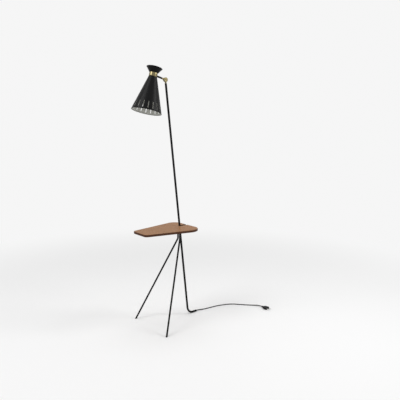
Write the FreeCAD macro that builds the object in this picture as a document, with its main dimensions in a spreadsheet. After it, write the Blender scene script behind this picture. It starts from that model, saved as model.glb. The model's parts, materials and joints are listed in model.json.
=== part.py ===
"""Floor lamp with a small table board, a leaning pole and a swivelling two-cone shade.

All sizes are in millimetres. The lamp stands on Z = 0, its pole leans towards -X and
lies in the plane Y = 0. The origin is on the floor under the middle of the lamp.
"""
import FreeCAD, Part
import math
import os
import re

import Sketcher
from FreeCAD import Vector

SIZES = {
    # pole, with the foot that turns along the floor
    "pole_dia": 12, "pole_wall": 1.25, "pole_lean": 6.2, "pole_length": 1367.3,
    "pole_bend_radius": 42, "stub_length": 63.5,
    # two straight legs, upright where they meet the hub
    "leg_dia": 10, "leg_wall": 1.2, "leg_set_back": 66, "leg_half_gap": 9,
    "leg_bend_height": 488, "leg_bend_radius": 24, "foot_set_back": 276.4,
    "foot_half_gap": 155.5, "tip_length": 7, "tip_plug_length": 12,
    "grommet_long": 10, "grommet_lip": 2,
    # table board
    "board_top": 564, "board_thick": 13, "board_front": 342, "board_back": 7,
    "front_left": 60, "front_right": 68, "back_left": 117, "back_right": 158,
    "front_round": 22, "back_left_round": 48, "back_right_round": 60,
    "board_slot": 14.6, "board_edge": 2,
    # hub under the board
    "hub_flange": 3, "hub_depth": 22, "hub_size_x": 36, "hub_size_y": 40,
    "flange_size_x": 70, "flange_size_y": 60, "hub_round": 8, "hub_lead": 1.5,
    "grub_dia": 5, "wood_screw_dia": 4, "wood_screw_length": 12, "wood_screw_head": 7.6,
    "wood_screw_x": 26, "wood_screw_y": 22, "wood_screw_rise": 2.2,
    # fits, and the small chamfer and spare depth used throughout
    "snug": 0.01, "fit": 0.05, "air": 0.3, "ease": 1,
    # knuckle between the pole and the shade's arm
    "knuckle_rise": 19, "knuckle_dia": 24, "knuckle_half": 6, "knuckle_gap": 0.4,
    "stem_dia": 10, "spigot_dia": 6, "spigot_length": 28, "bush_length": 22,
    "swivel_washer": 0.8, "swivel_nut_height": 4, "knuckle_screw": 4, "knuckle_rim": 2.5,
    "knuckle_boss": 9, "knuckle_cup": 3.6, "screw_head_dia": 9, "screw_head_height": 2.4,
    "cap_nut_dia": 8, "cap_nut_height": 4.5, "driver_slot": 1.2, "wire_stop": 4,
    # arm
    "head_tilt": 13.9, "arm_reach": 81.4, "arm_dia": 10, "arm_wall": 1,
    "arm_brass_end": 24, "arm_spigot": 10, "nipple_in_arm": 12,
    # shade
    "ring_dia": 45, "ring_wall": 2.5, "ring_height": 20, "sheet": 0.9,
    "rim_dia": 163, "cone_height": 188.3, "flare_dia": 85, "flare_height": 27.8,
    "slot_count": 18, "slot_width": 4, "slot_length": 37, "slot_to_rim": 9,
    "nipple_dia": 10, "nipple_bore": 7.5, "nipple_rise": 7, "nipple_drop": 10,
    "nut_height": 4, "nut_across": 16, "locknut_across": 12, "locknut_height": 3,
    # lampholder and bulb
    "holder_dia": 27, "holder_length": 43, "holder_top": 15, "sleeve_dia": 15.8,
    "sleeve_wall": 0.8, "bulb_cap_dia": 14, "bulb_cap_length": 23, "bulb_dia": 45,
    "bulb_length": 77, "glass": 1, "bulb_round": 12, "bulb_neck_round": 5,
    "holder_ease": 4, "contact_dia": 6, "contact_long": 4,
    # wires and cord
    "wire_dia": 2.8, "cord_dia": 5.5,
    # plug at the cord's far end
    "plug_long": 33, "plug_wide": 35, "plug_thick": 13.7, "boot_long": 13,
    "boot_dia": 10.3, "plug_round": 12, "pin_dia": 4, "pin_long": 19, "pin_pitch": 18.6,
}

# The cord's own route over the floor, measured from the pole's corner. Each point is
# x, y and the height of the cord's middle above the floor.
CORD_ROUTE = [
    (63.5, 0.0, 6.0), (84.0, 0.0, 6.0), (112.0, -9.0, 2.8), (150.0, -16.0, 2.8),
    (194.0, -22.0, 2.8), (238.0, -33.0, 2.8), (281.0, -50.0, 2.8), (316.0, -72.0, 2.8),
    (342.0, -106.0, 2.8), (376.0, -146.0, 2.8), (402.0, -174.0, 3.4),
    (420.0, -203.0, 6.85), (421.5, -226.0, 6.85),
]

# Lengths worked out from the sizes above.
WORKED = {
    "rim_out": "arm_reach * cos(head_tilt) + rim_drop * sin(head_tilt)"
               " + rim_dia / 2 * cos(head_tilt)",
    "rim_drop": "ring_height / 2 + cone_height",
    "knuckle_up": "pole_length + knuckle_rise",
    "knuckle_back": "knuckle_up * sin(pole_lean)",
    "pole_x": "(knuckle_back + rim_out - stub_length) / 2",
    "knuckle_x": "pole_x - knuckle_back",
    "knuckle_z": "pole_dia / 2 + knuckle_up * cos(pole_lean)",
    "ring_x": "knuckle_x - arm_reach * cos(head_tilt)",
    "ring_z": "knuckle_z + arm_reach * sin(head_tilt)",
    "leg_reach": "sqrt((foot_set_back - leg_set_back) ^ 2 + (foot_half_gap - leg_half_gap) ^ 2)",
    "leg_slope": "atan(leg_reach / leg_bend_height)",
    "leg_turn": "180 deg - atan((foot_half_gap - leg_half_gap) / (foot_set_back - leg_set_back))",
    "board_under": "board_top - board_thick",
    "leg_top": "board_under - 2 * hub_flange",
    "hub_back": "(board_under - pole_dia / 2) * tan(pole_lean)",
    "grub_height": "board_under - hub_flange - hub_depth / 2",
    "cone_slope": "atan((rim_dia - ring_dia) / 2 / cone_height)",
    "flare_slope": "atan((flare_dia - ring_dia) / 2 / flare_height)",
    "neck": "ring_height / 2",
    "seat": "neck + sheet",
    "arm_nut_x": "sqrt((ring_dia / 2 - ring_wall) ^ 2 - (locknut_across / 2) ^ 2)"
                 " - fit - locknut_height",
}

doc = FreeCAD.newDocument("floor_lamp")
dims = doc.addObject("Spreadsheet::Sheet", "dims")
for row, (alias, size) in enumerate(SIZES.items(), start=1):
    dims.set("A%d" % row, alias.replace("_", " "))
    dims.set("B%d" % row, str(size))
    dims.setAlias("B%d" % row, alias)
doc.recompute()
worked = doc.addObject("App::VarSet", "worked")
for alias in WORKED:
    worked.addProperty("App::PropertyFloat", alias, "Worked out", alias.replace("_", " "))


def bound(text):
    """Point every size named in an expression at the sheet or at the worked-out values."""
    def owner(match):
        word = match.group(0)
        if word in SIZES:
            return "dims." + word
        return "worked." + word if word in WORKED else word
    return re.sub(r"[a-z][a-z_0-9]*", owner, str(text))


for alias, text in WORKED.items():
    worked.setExpression(alias, bound(text))
doc.recompute()
parts = []


def value(text):
    """The number that an expression of named sizes gives."""
    return float(worked.evalExpression(bound(text)))


def seat(part, x="0", y="0", z="0", turns=()):
    """Bind a part's placement: a point, and turns about axes given as (axis, degrees)."""
    turning = " * ".join(
        "rotation(vector(%s); %s)" % ("; ".join(str(c) for c in axis), bound(angle))
        for axis, angle in turns) or "rotation(vector(0; 0; 1); 0)"
    spot = "; ".join("(%s)" % bound(c) for c in (x, y, z))
    part.setExpression("Placement", "placement(vector(%s); %s)" % (spot, turning))


X_AXIS, Y_AXIS, Z_AXIS = (1, 0, 0), (0, 1, 0), (0, 0, 1)


def in_head(part):
    """The shade's arm: origin in the knuckle, the arm runs along -X."""
    seat(part, "knuckle_x", "0", "knuckle_z", [(Y_AXIS, "head_tilt")])


def in_shade(part):
    """The shade: origin in the neck ring, Z along the shade's own axis."""
    seat(part, "ring_x", "0", "ring_z", [(Y_AXIS, "head_tilt")])


def in_swivel(part):
    """The swivel: origin in the knuckle, Z along the pole."""
    seat(part, "knuckle_x", "0", "knuckle_z", [(Y_AXIS, "-pole_lean")])


def new_body(name):
    body = doc.addObject("PartDesign::Body", name)
    body.Label = name
    parts.append(body)
    return body


def new_sketch(body, plane, lift="0"):
    """A sketch on one of the body's own planes, lifted along that plane's normal."""
    sketch = body.newObject("Sketcher::SketchObject", body.Name + "_sketch")
    support = [f for f in body.Origin.OriginFeatures if f.Role == plane + "_Plane"][0]
    sketch.AttachmentSupport = [(support, "")]
    sketch.MapMode = "FlatFace"
    sketch.setExpression("AttachmentOffset.Base.z", bound(lift))
    return sketch


def hold(sketch, kind, geometry, place, text):
    """One dimension of a sketch, bound to an expression."""
    if kind == "Radius":
        rule = Sketcher.Constraint(kind, geometry, value(text))
    else:
        rule = Sketcher.Constraint(kind, geometry, place, value(text))
    index = sketch.addConstraint(rule)
    sketch.setExpression("Constraints[%d]" % index, bound(text))


def circle(sketch, radius, x="0", y="0"):
    ring = Part.Circle(Vector(value(x), value(y), 0), Vector(0, 0, 1), value(radius))
    index = sketch.addGeometry(ring)
    hold(sketch, "DistanceX", index, 3, x)
    hold(sketch, "DistanceY", index, 3, y)
    hold(sketch, "Radius", index, 0, radius)


def corner_arc(before, here, after, radius):
    """Tangent points and arc of a rounded corner, and whether the path turns left."""
    back = (before - here).normalize()
    ahead = (after - here).normalize()
    half = back.getAngle(ahead) / 2
    reach = radius / math.tan(half)
    start, end = here + back * reach, here + ahead * reach
    middle = here + (back + ahead).normalize() * (radius / math.sin(half))
    left = back.cross(ahead).z < 0
    first, last = (start, end) if left else (end, start)
    low = math.atan2(first.y - middle.y, first.x - middle.x)
    high = math.atan2(last.y - middle.y, last.x - middle.x)
    if high < low:
        high += 2 * math.pi
    arc = Part.ArcOfCircle(Part.Circle(middle, Vector(0, 0, 1), radius), low, high)
    return start, end, arc, left


def outline(sketch, corners, closed=True):
    """Straight edges through the corners. A third value in a corner rounds it."""
    spots = [Vector(value(c[0]), value(c[1]), 0) for c in corners]
    count = len(corners)
    joints = []
    for index, corner in enumerate(corners):
        here = spots[index]
        if len(corner) == 3:
            after = spots[(index + 1) % count]
            joints.append(corner_arc(spots[index - 1], here, after, value(corner[2])))
        else:
            joints.append((here, here, None, True))
    edges = count if closed else count - 1
    lines = [sketch.addGeometry(Part.LineSegment(joints[i][1], joints[(i + 1) % count][0]))
             for i in range(edges)]
    for index, corner in enumerate(corners):
        coming = lines[index - 1] if closed or index > 0 else None
        going = lines[index] if index < edges else None
        arc, left = joints[index][2:]
        if arc is not None:
            bend = sketch.addGeometry(arc)
            near, far = (1, 2) if left else (2, 1)
            sketch.addConstraint(Sketcher.Constraint("Tangent", coming, 2, bend, near))
            sketch.addConstraint(Sketcher.Constraint("Tangent", bend, far, going, 1))
            hold(sketch, "Radius", bend, 0, corner[2])
            tip = sketch.addGeometry(Part.Point(spots[index]), True)
            sketch.addConstraint(Sketcher.Constraint("PointOnObject", tip, 1, coming))
            sketch.addConstraint(Sketcher.Constraint("PointOnObject", tip, 1, going))
            held = (tip, 1)
        elif going is None:
            held = (coming, 2)
        else:
            held = (going, 1)
            if coming is not None:
                sketch.addConstraint(Sketcher.Constraint("Coincident", coming, 2, going, 1))
        hold(sketch, "DistanceX", held[0], held[1], corner[0])
        hold(sketch, "DistanceY", held[0], held[1], corner[1])
    return len(lines) + sum(1 for joint in joints if joint[2] is not None)


def rectangle(sketch, low_x, low_y, high_x, high_y, *radius):
    outline(sketch, [(low_x, low_y, *radius), (high_x, low_y, *radius),
                     (high_x, high_y, *radius), (low_x, high_y, *radius)])


def polygon(sketch, sides, across):
    """A regular outline, such as a nut's, from its width across two flats."""
    step = 360.0 / sides
    outline(sketch, [("(%s) / 2 / cos(%g) * cos(%g)" % (across, step / 2, step * (k + 0.5)),
                      "(%s) / 2 / cos(%g) * sin(%g)" % (across, step / 2, step * (k + 0.5)))
                     for k in range(sides)])


def turned(body, corners, axis="V_Axis"):
    """A lathe-turned form from its half outline."""
    sketch = new_sketch(body, "XZ")
    outline(sketch, corners)
    feature = body.newObject("PartDesign::Revolution", body.Name + "_turning")
    feature.Profile = sketch
    feature.ReferenceAxis = (sketch, [axis])
    feature.Angle = 360


def raised(body, sketch, length):
    feature = body.newObject("PartDesign::Pad", body.Name + "_pad")
    feature.Profile = sketch
    feature.setExpression("Length", bound(length))
    return feature


def cut_away(body, sketch, length, back=False):
    """Remove the sketched outline, against the sketch's normal unless back is set."""
    feature = body.newObject("PartDesign::Pocket", body.Name + "_cut")
    feature.Profile = sketch
    feature.Type = "Length"
    feature.setExpression("Length", bound(length))
    feature.Reversed = back
    return feature


def swept(body, corners, plane, lift, radii, x="0", y="0"):
    """A tube or rod: circles of the given radii carried along a path in the XZ plane."""
    path = new_sketch(body, "XZ")
    edges = outline(path, corners, closed=False)
    profile = new_sketch(body, plane, lift)
    for radius in radii:
        circle(profile, radius, x, y)
    doc.recompute()
    feature = body.newObject("PartDesign::AdditivePipe", body.Name + "_sweep")
    feature.Profile = profile
    feature.Spine = (path, ["Edge%d" % (k + 1) for k in range(edges)])


# ---------------------------------------------------------------- pole and legs

def along_pole(distance):
    """X and Z of a point on the pole's middle line, measured from its corner."""
    return ("pole_x - (%s) * sin(pole_lean)" % distance,
            "pole_dia / 2 + (%s) * cos(pole_lean)" % distance)


def make_pole():
    pole = new_body("pole")
    top_x, top_z = along_pole("pole_length")
    swept(pole, [("pole_x + stub_length", "pole_dia / 2"),
                 ("pole_x", "pole_dia / 2", "pole_bend_radius"), (top_x, top_z)],
          "YZ", "pole_x + stub_length", ["pole_dia / 2", "pole_dia / 2 - pole_wall"],
          "0", "pole_dia / 2")
    lead = new_body("pole_cable")
    top_x, top_z = along_pole("pole_length - spigot_length - air")
    swept(lead, [("pole_x + stub_length", "pole_dia / 2"),
                 ("pole_x", "pole_dia / 2", "pole_bend_radius"), (top_x, top_z)],
          "YZ", "pole_x + stub_length", ["cord_dia / 2"], "0", "pole_dia / 2")
    grommet = new_body("cord_grommet")
    hole, plug = "cord_dia / 2 + fit", "pole_dia / 2 - pole_wall - fit"
    turned(grommet, [(hole, "-grommet_long"), (plug, "-grommet_long"), (plug, "0"),
                     ("pole_dia / 2", "0"), ("pole_dia / 2", "grommet_lip - ease"),
                     ("pole_dia / 2 - ease", "grommet_lip"), (hole, "grommet_lip")])
    seat(grommet, "pole_x + stub_length", "0", "pole_dia / 2", [(Y_AXIS, "90")])


def make_leg(side, name):
    """One leg in its own upright plane, with the plastic tip that stands on the floor."""
    turn = "%d * leg_turn" % side
    leg = new_body("leg_" + name)
    swept(leg, [("0", "leg_top"), ("0", "leg_bend_height", "leg_bend_radius"),
                ("leg_reach - tip_length * sin(leg_slope)", "tip_length * cos(leg_slope)")],
          "XY", "leg_top", ["leg_dia / 2", "leg_dia / 2 - leg_wall"])
    seat(leg, "pole_x - leg_set_back", "%d * leg_half_gap" % side, "0", [(Z_AXIS, turn)])
    tip = new_body("foot_tip_" + name)
    bore = "leg_dia / 2 - leg_wall - fit"
    turned(tip, [("0", "-leg_dia"), ("leg_dia / 2", "-leg_dia"), ("leg_dia / 2", "tip_length"),
                 (bore, "tip_length"), (bore, "tip_length + tip_plug_length - ease"),
                 (bore + " - ease", "tip_length + tip_plug_length"),
                 ("0", "tip_length + tip_plug_length")])
    floor = new_sketch(tip, "XZ", "leg_dia")
    outline(floor, [("-leg_dia", "leg_dia * tan(leg_slope)"),
                    ("-leg_dia", "-3 * leg_dia"), ("leg_dia", "-3 * leg_dia"),
                    ("leg_dia", "-leg_dia * tan(leg_slope)")])
    cut_away(tip, floor, "2 * leg_dia")
    seat(tip, "pole_x - foot_set_back", "%d * foot_half_gap" % side, "0",
         [(Z_AXIS, turn), (Y_AXIS, "-leg_slope")])


# ---------------------------------------------------------------- board and hub

def make_board():
    """The wooden board, open at the back so that it slides over the pole."""
    board = new_body("table_board")
    plan = new_sketch(board, "XY", "board_under")
    slot_end = "pole_x - hub_back - board_slot / 2 - ease"
    back = "pole_x - board_back"
    outline(plan, [("pole_x - board_front", "front_left", "front_round"),
                   ("pole_x - board_front", "-front_right", "front_round"),
                   (back, "-back_right", "back_right_round"),
                   (back, "-board_slot / 2"),
                   (slot_end, "-board_slot / 2", "board_slot / 2 - ease / 2"),
                   (slot_end, "board_slot / 2", "board_slot / 2 - ease / 2"),
                   (back, "board_slot / 2"),
                   (back, "back_left", "back_left_round")])
    slab = raised(board, plan, "board_thick")
    doc.recompute()
    rims = ["Face%d" % (k + 1) for k, face in enumerate(slab.Shape.Faces)
            if abs(face.normalAt(0, 0).z) > 0.9]
    edge = board.newObject("PartDesign::Fillet", "board_rounding")
    edge.Base = (slab, rims)
    edge.setExpression("Radius", bound("board_edge"))
    for x, y in wood_screw_spots():
        hole = new_sketch(board, "XY", "board_under")
        circle(hole, "wood_screw_dia / 2 + snug", x, y)
        cut_away(board, hole, "wood_screw_length - hub_flange + ease / 2", back=True)


HUB_MIDDLE = "pole_x - hub_back - hub_lead"
BOSS_LOW = "board_under - hub_flange - hub_depth"


def wood_screw_spots():
    for along in (-1, 1):
        for across in (-1, 1):
            yield (HUB_MIDDLE + " + %d * wood_screw_x" % along,
                   "%d * wood_screw_y" % across)


def make_hub():
    """The casting under the board that holds the pole and both legs."""
    hub = new_body("hub")
    flange = new_sketch(hub, "XY", "board_under - hub_flange")
    rectangle(flange, HUB_MIDDLE + " - flange_size_x / 2", "-flange_size_y / 2",
              HUB_MIDDLE + " + flange_size_x / 2", "flange_size_y / 2", "hub_round")
    raised(hub, flange, "hub_flange")
    boss = new_sketch(hub, "XY", BOSS_LOW)
    rectangle(boss, HUB_MIDDLE + " - hub_size_x / 2", "-hub_size_y / 2",
              HUB_MIDDLE + " + hub_size_x / 2", "hub_size_y / 2", "hub_round")
    raised(hub, boss, "hub_depth")
    for side in (-1, 1):
        socket = new_sketch(hub, "XY", "leg_top")
        circle(socket, "leg_dia / 2 + fit", "pole_x - leg_set_back", "%d * leg_half_gap" % side)
        cut_away(hub, socket, "hub_depth")
        grub = new_sketch(hub, "XZ", "%d * hub_size_y / 2" % -side)
        circle(grub, "grub_dia / 2 + fit", "pole_x - leg_set_back", "grub_height")
        cut_away(hub, grub, "hub_size_y / 2 - leg_half_gap - leg_dia / 4", back=side > 0)
    front = new_sketch(hub, "YZ", HUB_MIDDLE + " + hub_size_x / 2")
    circle(front, "grub_dia / 2 + fit", "0", "grub_height")
    cut_away(hub, front, "hub_size_x / 2 - pole_dia / 4")
    for x, y in wood_screw_spots():
        hole = new_sketch(hub, "XY", "board_under")
        circle(hole, "wood_screw_dia / 2 + air", x, y)
        cut_away(hub, hole, "hub_flange")
    lean = hub.newObject("PartDesign::SubtractiveCylinder", "pole_passage")
    lean.setExpression("Radius", bound("pole_dia / 2 + fit"))
    lean.setExpression("Height", bound("2 * board_under"))
    seat(lean, "pole_x", "0", "pole_dia / 2", [(Y_AXIS, "-pole_lean")])
    hub.Tip = lean


def round_pieces(name, pieces):
    """One node of several like fasteners, each a turned solid with its own place."""
    solids = []
    for number, (corners, place) in enumerate(pieces):
        body = new_body("%s_%d" % (name, number + 1))
        parts.pop()
        turned(body, corners)
        seat(body, *place)
        solids.append(body)
    group = doc.addObject("Part::Compound", name)
    group.Label = name
    group.Links = solids
    parts.append(group)


def make_fasteners():
    height = "(board_under - hub_flange)"
    screw = [("0", "-wood_screw_rise"), ("wood_screw_head / 2 - ease", "-wood_screw_rise"),
             ("wood_screw_head / 2", "ease - wood_screw_rise"),
             ("wood_screw_head / 2", "0"), ("wood_screw_dia / 2", "0"),
             ("wood_screw_dia / 2", "wood_screw_length - wood_screw_dia / 2 - ease"),
             ("0", "wood_screw_length")]
    round_pieces("wood_screws", [(screw, (x, y, height)) for x, y in wood_screw_spots()])
    side_long = "hub_size_y / 2 - leg_half_gap - leg_dia / 2 - fit"
    pieces = []
    for side in (-1, 1):
        pieces.append((grub_outline(side_long),
                       ("pole_x - leg_set_back", "%d * hub_size_y / 2" % side, "grub_height",
                        [(X_AXIS, "%d * 90" % side)])))
    front_long = "hub_size_x / 2 - hub_lead - hub_back + (%s)" % (
        "(grub_height - pole_dia / 2) * tan(pole_lean) - pole_dia / 2 / cos(pole_lean) - air")
    pieces.append((grub_outline(front_long),
                   (HUB_MIDDLE + " + hub_size_x / 2", "0", "grub_height", [(Y_AXIS, "-90")])))
    round_pieces("hub_grub_screws", pieces)


def grub_outline(length):
    """A headless screw from its outer end at 0, with a round driver recess."""
    return [("grub_dia / 4", "0"), ("grub_dia / 2", "0"), ("grub_dia / 2", length), ("0", length),
            ("0", "grub_dia / 2"), ("grub_dia / 4", "grub_dia / 2")]


# ---------------------------------------------------------------- swivel and knuckle

def make_swivel():
    """Everything that turns on the pole's top, up to the near half of the knuckle."""
    bush = new_body("pole_top_bush")
    turned(bush, [("spigot_dia / 2 + fit", "-knuckle_rise - bush_length"),
                  ("pole_dia / 2 - pole_wall - fit", "-knuckle_rise - bush_length"),
                  ("pole_dia / 2 - pole_wall - fit", "-knuckle_rise"),
                  ("spigot_dia / 2 + fit", "-knuckle_rise")])
    in_swivel(bush)
    washer = new_body("swivel_washer")
    turned(washer, [("spigot_dia / 2 + fit", "-knuckle_rise"), ("stem_dia / 2", "-knuckle_rise"),
                    ("stem_dia / 2", "-knuckle_rise + swivel_washer"),
                    ("spigot_dia / 2 + fit", "-knuckle_rise + swivel_washer")])
    in_swivel(washer)
    nut = new_body("swivel_nut")
    nut_low = "-knuckle_rise - bush_length - fit - swivel_nut_height"
    turned(nut, [("spigot_dia / 2 + snug", nut_low),
                 ("pole_dia / 2 - pole_wall - air", nut_low),
                 ("pole_dia / 2 - pole_wall - air", "-knuckle_rise - bush_length - fit"),
                 ("spigot_dia / 2 + snug", "-knuckle_rise - bush_length - fit")])
    in_swivel(nut)

    base = new_body("knuckle_base")
    stem_low = "-knuckle_rise + swivel_washer"
    spigot_low = "-knuckle_rise - spigot_length"
    turned(base, [("0", spigot_low), ("spigot_dia / 2", spigot_low),
                  ("spigot_dia / 2", stem_low), ("stem_dia / 2", stem_low),
                  ("stem_dia / 2", "-knuckle_dia / 4"), ("0", "-knuckle_dia / 4")])
    knuckle_disc(base, far=False)
    bore = new_sketch(base, "XY", spigot_low)
    circle(bore, "wire_dia / 2 + air")
    cut_away(base, bore, "spigot_length + knuckle_rise - knuckle_dia / 2 - wire_stop", back=True)
    jog = new_sketch(base, "XY", "-knuckle_dia / 2 - wire_stop")
    circle(jog, "wire_dia / 2", "0", "-knuckle_half / 2 + knuckle_gap")
    cut_away(base, jog, "knuckle_rim + wire_stop", back=True)
    in_swivel(base)

    wire = new_body("swivel_wire")
    turned(wire, [("0", spigot_low), ("wire_dia / 2", spigot_low),
                  ("wire_dia / 2", "-knuckle_dia / 2 - wire_stop"), ("0", "-knuckle_dia / 2 - wire_stop")])
    in_swivel(wire)
    washer = new_body("friction_washer")
    face = new_sketch(washer, "XZ", "-knuckle_gap + fit")
    circle(face, "knuckle_dia / 2 - air")
    circle(face, "knuckle_dia / 2 - knuckle_rim")
    raised(washer, face, "2 * knuckle_gap - fit")
    in_swivel(washer)
    screw = new_body("knuckle_screw")
    head = "-knuckle_half - screw_head_height"
    turned(screw, [("0", head), ("screw_head_dia / 2 - ease", head),
                   ("screw_head_dia / 2", head + " + ease"), ("screw_head_dia / 2", "-knuckle_half"),
                   ("knuckle_screw / 2", "-knuckle_half"),
                   ("knuckle_screw / 2", "knuckle_half + cap_nut_height - 1.5 * ease"),
                   ("0", "knuckle_half + cap_nut_height - 1.5 * ease")])
    slot = new_sketch(screw, "YZ", "-screw_head_dia")
    rectangle(slot, "-driver_slot / 2", head + " - ease", "driver_slot / 2",
              head + " + driver_slot")
    cut_away(screw, slot, "2 * screw_head_dia", back=True)
    in_knuckle_axis(screw)
    nut = new_body("knuckle_nut")
    turned(nut, [("knuckle_screw / 2 + snug", "knuckle_half"), ("cap_nut_dia / 2", "knuckle_half"),
                 ("cap_nut_dia / 2", "knuckle_half + cap_nut_height - ease"),
                 ("cap_nut_dia / 2 - ease", "knuckle_half + cap_nut_height"),
                 ("0", "knuckle_half + cap_nut_height"),
                 ("0", "knuckle_half + cap_nut_height - ease"),
                 ("knuckle_screw / 2 + snug", "knuckle_half + cap_nut_height - ease")])
    in_knuckle_axis(nut)


def in_knuckle_axis(part):
    """Origin in the knuckle, Z along the screw through it, which is +Y."""
    seat(part, "knuckle_x", "0", "knuckle_z", [(X_AXIS, "-90")])


def knuckle_disc(body, far):
    """One dished half of the knuckle, on the far (+Y) or the near side of the joint."""
    inner = "-knuckle_gap" if far else "knuckle_gap"
    disc = new_sketch(body, "XZ", "-knuckle_half" if far else inner)
    circle(disc, "knuckle_dia / 2")
    raised(body, disc, "knuckle_half - knuckle_gap")
    room = new_sketch(body, "XZ", inner)
    circle(room, "knuckle_dia / 2 + air")
    cut_away(body, room, "knuckle_half + knuckle_gap + ease", back=far)
    cup = new_sketch(body, "XZ", inner)
    circle(cup, "knuckle_dia / 2 - knuckle_rim")
    circle(cup, "knuckle_boss / 2")
    cut_away(body, cup, "knuckle_cup", back=not far)
    hole = new_sketch(body, "XZ", "knuckle_half + ease")
    circle(hole, "knuckle_screw / 2 + fit")
    cut_away(body, hole, "2 * (knuckle_half + ease)")


# ---------------------------------------------------------------- arm

def make_arm():
    """The brass half that tilts, the black tube, and what fastens it in the neck ring."""
    brass = new_body("knuckle_arm")
    inside = "arm_dia / 2 - arm_wall - fit"
    spigot_end = "-arm_brass_end - arm_spigot"
    turned(brass, [("-knuckle_dia / 4", "0"), ("-knuckle_dia / 4", "arm_dia / 2"),
                   ("-arm_brass_end", "arm_dia / 2"), ("-arm_brass_end", inside),
                   (spigot_end, inside), (spigot_end, "0")], axis="H_Axis")
    knuckle_disc(brass, far=True)
    bore = new_sketch(brass, "YZ", spigot_end)
    circle(bore, "wire_dia / 2 + air")
    cut_away(brass, bore, "arm_brass_end + arm_spigot - knuckle_dia / 2 - wire_stop", back=True)
    jog = new_sketch(brass, "YZ", "-knuckle_dia / 2 - wire_stop")
    circle(jog, "wire_dia / 2", "knuckle_half / 2 - knuckle_gap")
    cut_away(brass, jog, "knuckle_rim + wire_stop", back=True)
    in_head(brass)

    tube = new_body("arm_tube")
    ring_face = "-arm_reach + ring_dia / 2"
    turned(tube, [("-arm_brass_end", "arm_dia / 2 - arm_wall"), ("-arm_brass_end", "arm_dia / 2"),
                  (ring_face + " - ease", "arm_dia / 2"),
                  (ring_face + " - ease", "arm_dia / 2 - arm_wall")], axis="H_Axis")
    saddle = new_sketch(tube, "XY", "-arm_dia")
    circle(saddle, "ring_dia / 2 + fit", "-arm_reach")
    cut_away(tube, saddle, "2 * arm_dia", back=True)
    in_head(tube)

    nipple = new_body("arm_nipple")
    outer_end = ring_face + " + nipple_in_arm"
    inner_end = "-arm_reach + arm_nut_x - fit - 2 * ease"
    turned(nipple, [(outer_end, "wire_dia / 2 + air"), (outer_end, inside),
                    (inner_end, inside), (inner_end, "wire_dia / 2 + air")], axis="H_Axis")
    in_head(nipple)
    nut = new_body("arm_locknut")
    face = new_sketch(nut, "YZ", "-arm_reach + arm_nut_x")
    polygon(face, 6, "locknut_across")
    circle(face, inside + " + snug")
    raised(nut, face, "locknut_height")
    in_head(nut)

    wire = new_body("head_wire")
    swept(wire, [("-knuckle_dia / 2 - wire_stop", "0"), ("-arm_reach", "0", "arm_dia / 2"),
                 ("-arm_reach", "-seat - holder_top")],
          "YZ", "-knuckle_dia / 2 - wire_stop", ["wire_dia / 2"])
    in_head(wire)


# ---------------------------------------------------------------- shade

def sheet_cone(body, side, height, dia, slope):
    """A spun sheet cone with a flat neck plate. Side is 1 upwards and -1 downwards."""
    hole, thick = "nipple_dia / 2 + 2 * fit", "sheet / cos(%s)" % slope
    far = "%d * (neck + %s)" % (side, height)
    turned(body, [(hole, "%d * neck" % side), ("ring_dia / 2", "%d * neck" % side),
                  ("%s / 2" % dia, far), ("%s / 2 - %s" % (dia, thick), far),
                  ("ring_dia / 2 + sheet * tan(%s) - %s" % (slope, thick), "%d * seat" % side),
                  (hole, "%d * seat" % side)])
    in_shade(body)


def make_shade():
    ring = new_body("neck_ring")
    inner = "ring_dia / 2 - ring_wall"
    turned(ring, [(inner, "-neck"), ("ring_dia / 2", "-neck"), ("ring_dia / 2", "neck"),
                  (inner, "neck")])
    hole = new_sketch(ring, "YZ")
    circle(hole, "arm_dia / 2 - arm_wall")
    cut_away(ring, hole, "ring_dia", back=True)
    in_shade(ring)

    cone = new_body("shade_cone")
    sheet_cone(cone, -1, "cone_height", "rim_dia", "cone_slope")
    slot = new_sketch(cone, "YZ")
    low = "-neck - cone_height + slot_to_rim"
    rectangle(slot, "-slot_width / 2", low, "slot_width / 2", low + " + slot_length",
              "slot_width * 0.45")
    slit = cut_away(cone, slot, "rim_dia", back=True)
    doc.recompute()
    row = cone.newObject("PartDesign::PolarPattern", "slot_row")
    row.Originals = [slit]
    row.Axis = (slot, ["V_Axis"])
    row.Angle = 360
    row.setExpression("Occurrences", bound("slot_count"))
    cone.Tip = row
    sheet_cone(new_body("shade_flare"), 1, "flare_height", "flare_dia", "flare_slope")

    nipple = new_body("neck_nipple")
    low, high = "-seat - nipple_drop", "seat + nipple_rise"
    turned(nipple, [("nipple_bore / 2", low), ("nipple_dia / 2", low),
                    ("nipple_dia / 2", high), ("nipple_bore / 2", high)])
    window = new_sketch(nipple, "YZ")
    circle(window, "wire_dia / 2 + 2 * air")
    cut_away(nipple, window, "nipple_dia", back=True)
    in_shade(nipple)
    nut = new_body("neck_nut")
    face = new_sketch(nut, "XY", "seat")
    polygon(face, 6, "nut_across")
    circle(face, "nipple_dia / 2 + snug")
    raised(nut, face, "nut_height")
    in_shade(nut)


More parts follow.
